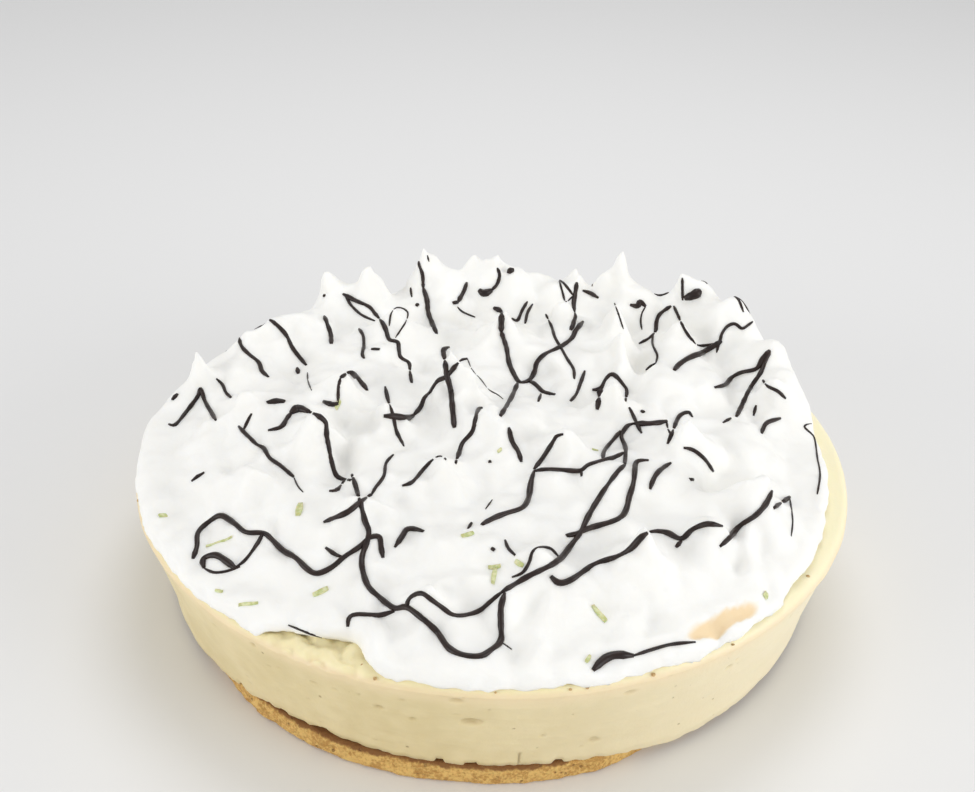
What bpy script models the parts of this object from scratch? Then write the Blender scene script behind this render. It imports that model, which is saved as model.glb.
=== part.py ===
"""Lemon meringue pie: a biscuit base, a thick set lemon filling and a pulled meringue top.

Metres, +Z up. The origin is on the middle of the underside, so the pie stands on z = 0.
"""

import math

import bmesh
import bpy
from mathutils import Vector, noise

MM = 0.001
CM = 0.01

RIM_RADIUS = 120 * MM  # widest part of the filling, at its top edge
FOOT_RADIUS = 111 * MM  # the mould tapers inwards to here
FILLING_TOP = 44.3 * MM
RIM_ROUND = 3 * MM  # radius of the filling's top edge
FOOT_ROUND = 1.5 * MM

BASE_RADIUS = 110 * MM
BASE_SHIFT = (-0.5 * MM, -2.6 * MM)  # the filling sits a little back from the middle of its base
BASE_THICKNESS = 7.2 * MM
BASE_ROUND = 1.2 * MM
GAP = 0.3 * MM  # between pieces that touch

LIP_HEIGHT = 7.5 * MM  # the smooth band that a spatula left round the meringue
LIP_ROUND = 3 * MM
BAND_WIDTH = 11 * MM
PEAK_MARGIN = 6 * MM  # peaks fade out over this distance from the edge
MOUND_HEIGHT = 14.5 * MM  # the mean level inside the band, above the filling
MOUND_RUN = 20 * MM  # over this width the band climbs to the mound
RIPPLE = 1.6 * MM
RIPPLE_LENGTH = 17 * MM
PEAK_BLEND = 3.0  # power of the sum that joins neighbouring peaks
LEAN_FROM = 0.25  # share of a peak's height above which it leans

TURN_STEPS = 80
ROUND_STEPS = 3
GRID_CELLS = 56

# The meringue's edge: at each angle in degrees, how far it stops short of the rim, in cm.
EDGE_SETBACK = (
    (-180, 0.1), (-150, 0.0), (-123, 0.0), (-120, 0.6), (-109, 0.9), (-106, 0.15),
    (-95, 0.0), (-70, 0.0), (-52, 0.1), (-35, 0.4), (-18, 0.7), (0, 0.8), (14, 0.9),
    (25, 0.7), (60, 0.9), (95, 1.0), (130, 0.8), (160, 1.0), (172, 0.4), (180, 0.1),
)

# Peaks pulled up with a spoon, in cm: x, y, tip above the filling, spread, lean along x, along y.
PEAKS = (
    (-10.3, 1.6, 2.5, 2.2, 0.0, 0.0),
    (-9.0, 3.6, 2.2, 2.0, 0.0, 0.0),
    (-8.1, 4.2, 2.4, 2.3, 0.0, 0.1),
    (-6.5, 7.5, 2.9, 2.5, 0.0, 0.0),
    (-4.7, 7.6, 2.8, 2.1, 0.0, 0.0),
    (-2.9, 8.5, 3.5, 2.5, 0.0, 0.0),
    (-0.6, 8.4, 3.6, 2.6, 0.0, 0.0),
    (0.0, 8.1, 3.4, 2.2, 0.0, 0.0),
    (1.8, 8.8, 2.1, 2.2, 0.0, 0.0),
    (3.4, 8.6, 2.5, 1.9, 0.0, 0.0),
    (4.4, 8.4, 3.6, 2.5, 0.3, 0.0),
    (7.1, 7.8, 3.1, 1.8, 0.0, 0.0),
    (7.8, 7.3, 2.9, 2.3, 0.0, 0.0),
    (9.1, 5.7, 2.8, 2.5, 0.0, 0.0),
    (10.2, 3.7, 2.4, 2.3, 0.1, 0.0),
    (-3.6, 5.0, 2.5, 2.3, 0.0, 0.0),
    (0.0, 4.5, 2.8, 2.5, 0.2, -0.2),
    (2.6, 5.6, 2.5, 2.3, 0.0, 0.0),
    (4.4, 4.8, 2.8, 2.2, 0.0, 0.0),
    (4.3, 3.0, 2.6, 2.2, 0.1, 0.0),
    (6.6, 4.6, 2.4, 2.4, 0.0, 0.0),
    (9.6, 1.2, 2.0, 2.4, 0.0, 0.0),
    (-8.3, -0.6, 2.0, 2.8, 0.0, 0.0),
    (-5.1, 0.1, 2.7, 2.2, 0.1, -0.1),
    (-5.6, -3.0, 2.7, 2.9, 0.2, 0.0),
    (-3.5, -1.5, 2.5, 2.2, 0.0, -0.1),
    (-1.5, 0.2, 3.6, 2.7, 0.0, 0.0),
    (-0.8, -0.3, 3.1, 2.0, 0.2, 0.0),
    (3.8, 0.0, 2.6, 2.3, 0.0, -0.2),
    (6.1, -2.2, 2.6, 2.5, 0.1, 0.0),
    (8.3, -4.8, 2.2, 2.8, 0.1, 0.0),
    (-0.4, -1.9, 2.3, 2.2, 0.0, 0.0),
    (2.3, -3.2, 2.4, 2.5, 0.0, 0.0),
    (-1.5, -4.4, 2.2, 2.3, 0.0, 0.0),
    (-7.6, -4.8, 1.9, 3.0, 0.0, 0.0),
    (-4.0, -6.6, 2.0, 2.8, 0.0, 0.0),
    (1.3, -8.4, 2.0, 2.6, 0.0, 0.0),
    (4.3, -8.8, 2.9, 3.2, 0.0, 0.1),
    (-1.9, -10.2, 1.9, 2.4, 0.0, 0.0),
    (6.6, -7.2, 2.0, 2.4, 0.0, 0.0),
)


def clear_scene():
    for old in list(bpy.data.objects):
        bpy.data.objects.remove(old, do_unlink=True)


def make_collection(name):
    made = bpy.data.collections.new(name)
    bpy.context.scene.collection.children.link(made)
    return made


def make_material(name, colour, roughness, subsurface=0.0):
    made = bpy.data.materials.new(name)
    made.use_nodes = True
    shader = made.node_tree.nodes["Principled BSDF"]
    shader.inputs["Base Color"].default_value = (*colour, 1)
    shader.inputs["Roughness"].default_value = roughness
    shader.inputs["Metallic"].default_value = 0.0
    shader.inputs["Subsurface Weight"].default_value = subsurface
    return made


def add_object(name, mesh, collection, material):
    mesh.materials.append(material)
    made = bpy.data.objects.new(name, mesh)
    collection.objects.link(made)
    return made


def rounded_corner(centre_x, centre_z, radius, start_deg, end_deg):
    """Points of an arc in the X-Z plane, from start_deg to end_deg."""
    for step in range(ROUND_STEPS + 1):
        angle = math.radians(start_deg + (end_deg - start_deg) * step / ROUND_STEPS)
        yield (centre_x + radius * math.cos(angle), centre_z + radius * math.sin(angle))


def turned_mesh(name, profile):
    """An open profile of (radius, z), from the top of the axis to its bottom, to be turned by a Screw."""
    mesh = bpy.data.meshes.new(name)
    points = [(radius, 0, z) for radius, z in profile]
    mesh.from_pydata(points, [(i, i + 1) for i in range(len(points) - 1)], [])
    return mesh


def turn(obj):
    screw = obj.modifiers.new("turned", "SCREW")
    screw.steps = TURN_STEPS
    screw.render_steps = TURN_STEPS
    screw.use_merge_vertices = True
    screw.merge_threshold = 0.00001
    screw.use_smooth_shade = True
    return obj


def biscuit_profile():
    """A flat disc with softened edges."""
    inner = BASE_RADIUS - BASE_ROUND
    yield (0, BASE_THICKNESS)
    yield from rounded_corner(inner, BASE_THICKNESS - BASE_ROUND, BASE_ROUND, 90, 0)
    yield from rounded_corner(inner, BASE_ROUND, BASE_ROUND, 0, -90)
    yield (0, 0)


def filling_profile():
    """A shallow cone, wide side up, with a round top edge."""
    bottom = BASE_THICKNESS + GAP
    foot = FOOT_RADIUS - FOOT_ROUND
    yield (0, FILLING_TOP)
    yield from rounded_corner(RIM_RADIUS - RIM_ROUND, FILLING_TOP - RIM_ROUND, RIM_ROUND, 90, 0)
    yield from rounded_corner(foot, bottom + FOOT_ROUND, FOOT_ROUND, 0, -90)
    yield (0, bottom)


def smoothstep(value):
    value = min(1.0, max(0.0, value))
    return value * value * (3 - 2 * value)


def edge_radius(angle):
    """Distance from the axis to the meringue's edge at an angle in radians."""
    degrees = math.degrees(angle)
    for (start, first), (end, second) in zip(EDGE_SETBACK, EDGE_SETBACK[1:]):
        if start <= degrees <= end:
            share = smoothstep((degrees - start) / (end - start))
            return RIM_RADIUS - CM * (first + (second - first) * share)
    return RIM_RADIUS


def mound_height(radius, edge):
    """Height above the filling before any peak is pulled: a rounded band, then the mound."""
    inward = max(0.0, edge - radius)
    lip = LIP_HEIGHT * math.sqrt(1 - (1 - min(1.0, inward / LIP_ROUND)) ** 2)
    climb = smoothstep((inward - BAND_WIDTH) / MOUND_RUN)
    return lip + (MOUND_HEIGHT - LIP_HEIGHT) * climb


def pull(x, y, ground):
    """(rise, lean x, lean y) that the peaks give a point of the mound."""
    total = 0.0
    lean_x = 0.0
    lean_y = 0.0
    for peak_x, peak_y, tip, spread, along_x, along_y in PEAKS:
        away = math.hypot(x - peak_x * CM, y - peak_y * CM) / (spread * CM)
        if away >= 1:
            continue
        share = (1 - away) ** 2
        rise = max(0.0, tip * CM - ground) * share
        total += rise**PEAK_BLEND
        bend = max(0.0, share - LEAN_FROM) * CM
        lean_x += along_x * bend
        lean_y += along_y * bend
    return total ** (1 / PEAK_BLEND), lean_x, lean_y


def meringue_point(x, y):
    """The place on the meringue's top that a point of the flat disc is lifted to."""
    radius = math.hypot(x, y)
    edge = edge_radius(math.atan2(y, x))
    ground = mound_height(radius, edge)
    rise, lean_x, lean_y = pull(x, y, ground)
    margin = smoothstep((edge - radius) / PEAK_MARGIN)
    ripple = RIPPLE * noise.noise(Vector((x, y, 0)) / RIPPLE_LENGTH)
    height = ground + margin * (rise + ripple)
    return Vector((x + lean_x * margin, y + lean_y * margin, FILLING_TOP + GAP + height))


def disc_point(u, v):
    """A point of the square from -1 to 1 moved on to the disc inside the meringue's edge."""
    x = u * math.sqrt(1 - v * v / 2)
    y = v * math.sqrt(1 - u * u / 2)
    edge = edge_radius(math.atan2(y, x))
    return x * edge, y * edge


def set_tips(corners):
    """The corner nearest each peak's middle is moved on to it, so that no tip is cut off."""
    for peak_x, peak_y, *_ in PEAKS:
        place = Vector((peak_x * CM, peak_y * CM))
        nearest = min(corners, key=lambda corner: (corner.co.xy - place).length)
        nearest.co.xy = place


def meringue_mesh(name):
    """A square grid moved on to the disc, lifted to the pulled surface and closed by a flat underside."""
    work = bmesh.new()
    bmesh.ops.create_grid(work, x_segments=GRID_CELLS, y_segments=GRID_CELLS, size=1)
    for corner in work.verts:
        corner.co.xy = disc_point(corner.co.x, corner.co.y)
    inner = [corner for corner in work.verts if not corner.is_boundary]
    set_tips(inner)
    rim = [edge for edge in work.edges if edge.is_boundary]
    for corner in work.verts:
        corner.co = meringue_point(corner.co.x, corner.co.y)
    skirt = bmesh.ops.extrude_edge_only(work, edges=rim)["geom"]
    lower = [item for item in skirt if isinstance(item, bmesh.types.BMVert)]
    for corner in lower:
        corner.co.z = FILLING_TOP + GAP
    for corner in work.verts:
        if corner.is_boundary and corner not in lower:
            corner.co.z += GAP
    bmesh.ops.holes_fill(work, edges=[edge for edge in work.edges if edge.is_boundary])
    bmesh.ops.recalc_face_normals(work, faces=work.faces)
    mesh = bpy.data.meshes.new(name)
    work.to_mesh(mesh)
    work.free()
    mesh.shade_smooth()
    return mesh


def build():
    clear_scene()
    pie = make_collection("lemon_meringue_pie")

    biscuit = make_material("biscuit crumb", (0.60, 0.36, 0.12), 0.85)
    base = turn(add_object("biscuit_base", turned_mesh("biscuit_base", biscuit_profile()), pie, biscuit))
    base.location = (*BASE_SHIFT, 0)

    lemon = make_material("lemon filling", (0.78, 0.62, 0.34), 0.45, 0.2)
    turn(add_object("lemon_filling", turned_mesh("lemon_filling", filling_profile()), pie, lemon))

    white = make_material("meringue", (0.93, 0.93, 0.90), 0.5, 0.3)
    add_object("meringue", meringue_mesh("meringue"), pie, white)


build()
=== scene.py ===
"""Lemon meringue pie: the finish of its biscuit base, lemon filling, meringue, chocolate drizzle and zest."""

import math
import random

import bpy
import numpy as np
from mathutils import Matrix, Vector, noise
from mathutils.bvhtree import BVHTree


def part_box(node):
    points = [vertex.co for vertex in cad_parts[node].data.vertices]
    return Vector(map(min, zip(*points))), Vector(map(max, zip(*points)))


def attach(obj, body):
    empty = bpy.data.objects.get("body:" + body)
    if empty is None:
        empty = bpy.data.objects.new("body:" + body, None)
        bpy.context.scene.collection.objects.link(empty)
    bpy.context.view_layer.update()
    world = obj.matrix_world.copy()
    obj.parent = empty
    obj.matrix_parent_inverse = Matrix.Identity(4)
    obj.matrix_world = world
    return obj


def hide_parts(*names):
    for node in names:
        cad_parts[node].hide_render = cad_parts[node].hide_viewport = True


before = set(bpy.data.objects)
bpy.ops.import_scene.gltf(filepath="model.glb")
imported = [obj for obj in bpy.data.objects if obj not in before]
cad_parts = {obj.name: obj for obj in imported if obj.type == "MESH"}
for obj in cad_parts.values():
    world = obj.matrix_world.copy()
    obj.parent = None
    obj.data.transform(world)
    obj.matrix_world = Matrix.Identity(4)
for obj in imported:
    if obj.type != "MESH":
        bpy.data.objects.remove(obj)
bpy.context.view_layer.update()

MM = 0.001
CM = 0.01

FILLING_LOW, FILLING_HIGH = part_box("lemon_filling")
BISCUIT_LOW, BISCUIT_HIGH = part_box("biscuit_base")
MERINGUE_LOW, MERINGUE_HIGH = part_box("meringue")

RIM_RADIUS = FILLING_HIGH.x
RIM_ROUND = 3 * MM
FOOT_ROUND = 1.5 * MM
WALL_ROWS = 58
TIP_LOSS = 2 * MM
FOOT_RADIUS = RIM_RADIUS - 9 * MM
FILLING_TOP = FILLING_HIGH.z
FILLING_FOOT = FILLING_LOW.z
MERINGUE_FOOT = MERINGUE_LOW.z
BISCUIT_RADIUS = (BISCUIT_HIGH.x - BISCUIT_LOW.x) / 2
BISCUIT_MIDDLE = (BISCUIT_LOW + BISCUIT_HIGH) / 2

# The meringue's edge: at each angle in degrees, how far it stops short of the rim, in cm.
EDGE_SETBACK = (
    (-180, 0.1), (-150, 0.0), (-123, 0.0), (-120, 0.6), (-109, 0.9), (-106, 0.15),
    (-95, 0.0), (-70, 0.0), (-52, 0.1), (-35, 0.4), (-18, 0.7), (0, 0.8), (14, 0.9),
    (25, 0.7), (60, 0.9), (95, 1.0), (130, 0.8), (160, 1.0), (172, 0.4), (180, 0.1),
)

# The spread meringue in rings from its edge inwards: step in and step up, in mm.
SPREAD_RINGS = (
    (0.0, 2.0), (0.3, 1.6), (0.8, 1.2), (1.4, 0.9), (2.4, 0.5), (4.0, 0.1),
    (3.0, -0.4), (2.5, 0.7), (4.0, 1.9), (6.0, 2.6), (8.0, 2.2), (12.0, 1.0),
)

# Broad rounded heaps, in cm: x, y, top above the filling, spread.
HEAPS = (
    (-9.2, 3.0, 1.7, 2.4), (-7.6, 5.4, 2.1, 2.4), (-5.4, 7.2, 2.3, 2.2), (-2.0, 7.8, 2.6, 2.4),
    (0.6, 8.0, 2.7, 2.2), (2.8, 7.9, 2.3, 1.9), (5.6, 7.6, 2.6, 2.2), (7.7, 7.2, 3.0, 2.2),
    (9.0, 5.6, 2.8, 2.2), (9.9, 3.6, 2.5, 2.0), (10.0, 1.6, 1.9, 1.9), (-4.2, 3.0, 1.9, 3.0),
    (2.0, 3.6, 2.0, 3.4), (6.4, 2.4, 1.9, 3.2), (-6.4, -0.8, 1.9, 2.8), (0.6, -1.6, 2.2, 3.2),
    (-3.6, -4.0, 1.9, 3.0), (4.0, -4.4, 2.0, 3.0), (0.0, -7.0, 1.8, 2.8), (8.0, -5.2, 2.0, 2.0),
)

# Peaks pulled up with a spoon, in cm: x, y, tip above the filling, spread, lean along x, along y.
PEAKS = (
    (-10.4, 1.5, 2.6, 1.7, 0.0, 0.0),
    (-9.0, 3.6, 2.1, 1.7, 0.0, 0.0),
    (-8.1, 4.2, 2.4, 2.0, 0.0, 0.1),
    (-6.5, 7.5, 3.0, 2.1, -0.1, 0.0),
    (-4.7, 7.6, 3.0, 1.8, -0.1, 0.0),
    (-2.9, 8.5, 3.6, 2.1, 0.0, 0.0),
    (-0.9, 8.6, 3.3, 1.7, 0.0, 0.0),
    (-0.1, 8.1, 3.3, 1.5, 0.1, 0.0),
    (1.8, 8.8, 2.4, 1.8, 0.0, 0.0),
    (3.2, 8.5, 2.8, 1.6, 0.0, 0.0),
    (4.4, 8.4, 3.7, 2.1, 0.3, 0.0),
    (6.9, 7.4, 3.3, 1.2, 0.0, 0.0),
    (-3.6, 5.0, 2.5, 2.0, 0.0, 0.0),
    (0.0, 4.5, 2.9, 2.2, 0.2, -0.2),
    (2.6, 5.6, 2.6, 2.0, 0.0, 0.0),
    (4.4, 4.8, 2.9, 1.9, 0.0, 0.0),
    (4.3, 3.0, 2.7, 1.9, 0.1, 0.0),
    (6.6, 4.6, 2.5, 2.0, 0.0, 0.0),
    (9.6, 1.2, 2.2, 1.6, 0.0, 0.0),
    (-8.3, -0.6, 2.1, 2.2, 0.0, 0.0),
    (-5.1, 0.1, 2.8, 2.0, 0.1, -0.1),
    (-5.6, -3.0, 2.8, 2.4, 0.2, 0.0),
    (-3.5, -1.5, 2.6, 2.0, 0.0, -0.1),
    (-1.5, 0.2, 3.5, 2.3, 0.0, 0.0),
    (-0.8, -0.3, 3.2, 1.7, 0.2, 0.0),
    (3.8, 0.0, 2.7, 2.0, 0.0, -0.2),
    (6.1, -2.2, 2.7, 2.1, 0.1, 0.0),
    (8.3, -4.8, 2.3, 2.2, 0.1, 0.0),
    (-0.4, -1.9, 2.5, 1.9, 0.0, 0.0),
    (2.3, -3.2, 2.5, 2.1, 0.0, 0.0),
    (-1.5, -4.4, 2.3, 2.0, 0.0, 0.0),
    (-7.6, -4.8, 1.9, 2.6, 0.0, 0.0),
    (-4.0, -6.6, 2.1, 2.2, 0.0, 0.0),
    (1.3, -8.4, 2.1, 2.2, 0.0, 0.0),
    (4.3, -8.6, 2.9, 2.6, 0.0, 0.1),
    (-1.7, -9.9, 1.8, 1.8, 0.0, 0.0),
    (6.6, -7.0, 2.1, 2.0, 0.0, 0.0),
)

# Hollows that the spoon pressed, in cm: x, y, depth, spread.
HOLLOWS = (
    (7.4, -3.6, 0.9, 1.6), (4.5, -9.5, 0.4, 1.1), (-4.8, -3.6, 0.5, 1.3), (3.6, 0.9, 0.5, 1.2),
    (5.1, 3.4, 0.6, 1.1), (-2.7, 3.0, 0.5, 1.3), (1.2, 2.0, 0.5, 1.4), (5.0, -5.6, 0.3, 1.4),
    (-7.0, 2.4, 0.4, 1.4), (7.6, 0.6, 0.3, 1.4), (-1.0, 6.2, 0.5, 1.2), (6.0, 6.2, 0.4, 1.2),
)

# Creases (down) and folds (up) dragged by the spatula: depth and width in mm, then points in cm.
DRAGS = (
    (-2.4, 6, (-2.5, -8.1), (-2.7, -9.8), (-2.5, -11.3)),
    (1.6, 5, (-3.4, -8.4), (-3.5, -10.0), (-3.2, -11.4)),
    (-1.8, 5, (1.2, -8.8), (0.8, -10.6), (0.6, -11.7)),
    (1.4, 4, (1.8, -8.8), (1.5, -10.4), (1.2, -11.6)),
    (-1.4, 6, (-10.3, -3.6), (-9.6, -6.0), (-8.6, -7.7), (-7.6, -8.9)),
    (-1.8, 5, (2.6, -11.5), (4.1, -11.0), (5.6, -10.3), (6.8, -9.5), (8.1, -8.4), (8.9, -7.4)),
    (-1.6, 5, (-2.9, -5.6), (-2.4, -6.8), (-2.0, -8.1)),
    (1.4, 4, (-1.9, -8.9), (-0.9, -9.4), (0.3, -9.0)),
    (2.2, 5, (4.4, 6.2), (4.5, 4.2), (4.4, 2.2), (3.6, 0.6)),
    (-3.4, 6, (5.1, 6.0), (5.2, 4.0), (5.1, 2.2), (4.5, 0.6)),
    (-3.0, 7, (-4.9, -1.4), (-4.7, -3.0), (-4.8, -4.4)),
    (1.8, 6, (6.3, -4.9), (7.5, -5.5), (8.6, -6.1)),
    (-1.5, 4, (7.3, -6.0), (7.2, -7.4)),
    (-1.3, 3, (8.0, -6.1), (8.0, -7.7)),
    (1.4, 4, (7.6, -6.0), (7.6, -7.6)),
    (-1.5, 5, (3.0, -6.6), (3.4, -8.0), (3.2, -9.4)),
    (1.6, 5, (4.5, -8.7), (4.1, -9.8), (3.6, -10.8)),
    (-1.4, 5, (-6.6, -6.4), (-5.6, -8.6), (-5.4, -9.8)),
    (1.3, 5, (-9.0, -2.8), (-8.2, -5.0), (-7.2, -6.6)),
    (-1.6, 5, (-1.2, 1.8), (-1.9, 3.2), (-1.6, 5.0)),
    (-1.8, 5, (1.6, 4.6), (1.9, 6.2), (1.4, 7.6)),
    (-1.5, 5, (8.6, 3.4), (8.1, 1.8), (8.8, 0.4)),
    (-1.3, 4, (10.6, 1.4), (10.6, -1.6), (10.0, -4.4)),
    (1.3, 5, (7.6, 3.4), (8.2, 4.6), (8.0, 6.0)),
    (-2.6, 7, (-7.5, 7.0), (-7.2, 8.2), (-6.0, 9.0)),
    (2.4, 6, (-5.2, 8.4), (-5.0, 9.6), (-5.6, 10.4)),
    (-2.8, 7, (-3.8, 8.8), (-3.2, 10.0), (-3.8, 11.0)),
    (2.2, 6, (-1.6, 9.0), (-1.2, 10.2), (-1.8, 11.0)),
    (-2.6, 8, (0.8, 9.2), (1.6, 10.2), (1.2, 11.0)),
    (2.6, 6, (3.0, 9.2), (3.4, 10.2), (2.8, 10.9)),
    (-2.8, 7, (5.6, 8.6), (5.8, 9.6), (5.2, 10.2)),
    (2.2, 6, (7.4, 8.2), (8.0, 8.8), (7.2, 9.4)),
)

# The slim oval at the right of the front where the meringue was left thin: middle in cm, half length and half
# width in mm, and turn in degrees.
THIN_MIDDLE = (6.6, -9.4)
THIN_HALF_LENGTH = 13.5 * MM
THIN_HALF_WIDTH = 2.5 * MM
THIN_TURN = math.radians(36)

# How far the filling hangs over the biscuit at each angle in degrees, in mm.
HANG = (
    (-180, 5), (-150, 5), (-136, 2.5), (-122, 0.5), (-110, 1.2), (-90, 1.8), (-76, 1.8), (-68, 3), (-58, 5),
    (30, 5), (50, 1.5), (80, 0.8), (120, 1.5), (140, 1), (158, 5), (180, 5),
)

# How far the biscuit stays back under the filling at each angle in degrees, in mm.
INSET = (
    (-180, 4.5), (-146, 4), (-128, 1), (-114, 0), (-84, 0), (-74, 1), (-60, 4.5), (30, 4.5), (50, 1),
    (80, 0), (120, 0.5), (150, 3), (180, 4.5),
)

# The few air holes and tears that stand out on the front: angle in degrees, then height, half height, half
# width and depth in mm.
FRONT_HOLES = (
    (-92, 29, 1.5, 3, 1.5), (-94, 39, 1, 2, 0.7), (-105, 30, 1, 1.5, 0.7), (-74, 16, 1, 2, 0.7),
    (-85, 11, 2.5, 0.5, 0.8), (-70, 7, 1, 2.5, 1.2), (-116, 8, 1, 2, 1.2),
)
WALL_HOLES = 75  # small ones, anywhere on the side
BAND_HOLES = 30  # more of them in a band below the rim
CRUMB_COUNT = 14
FRONT_CRUMBS = 8  # of those, how many lie along the front

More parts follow.
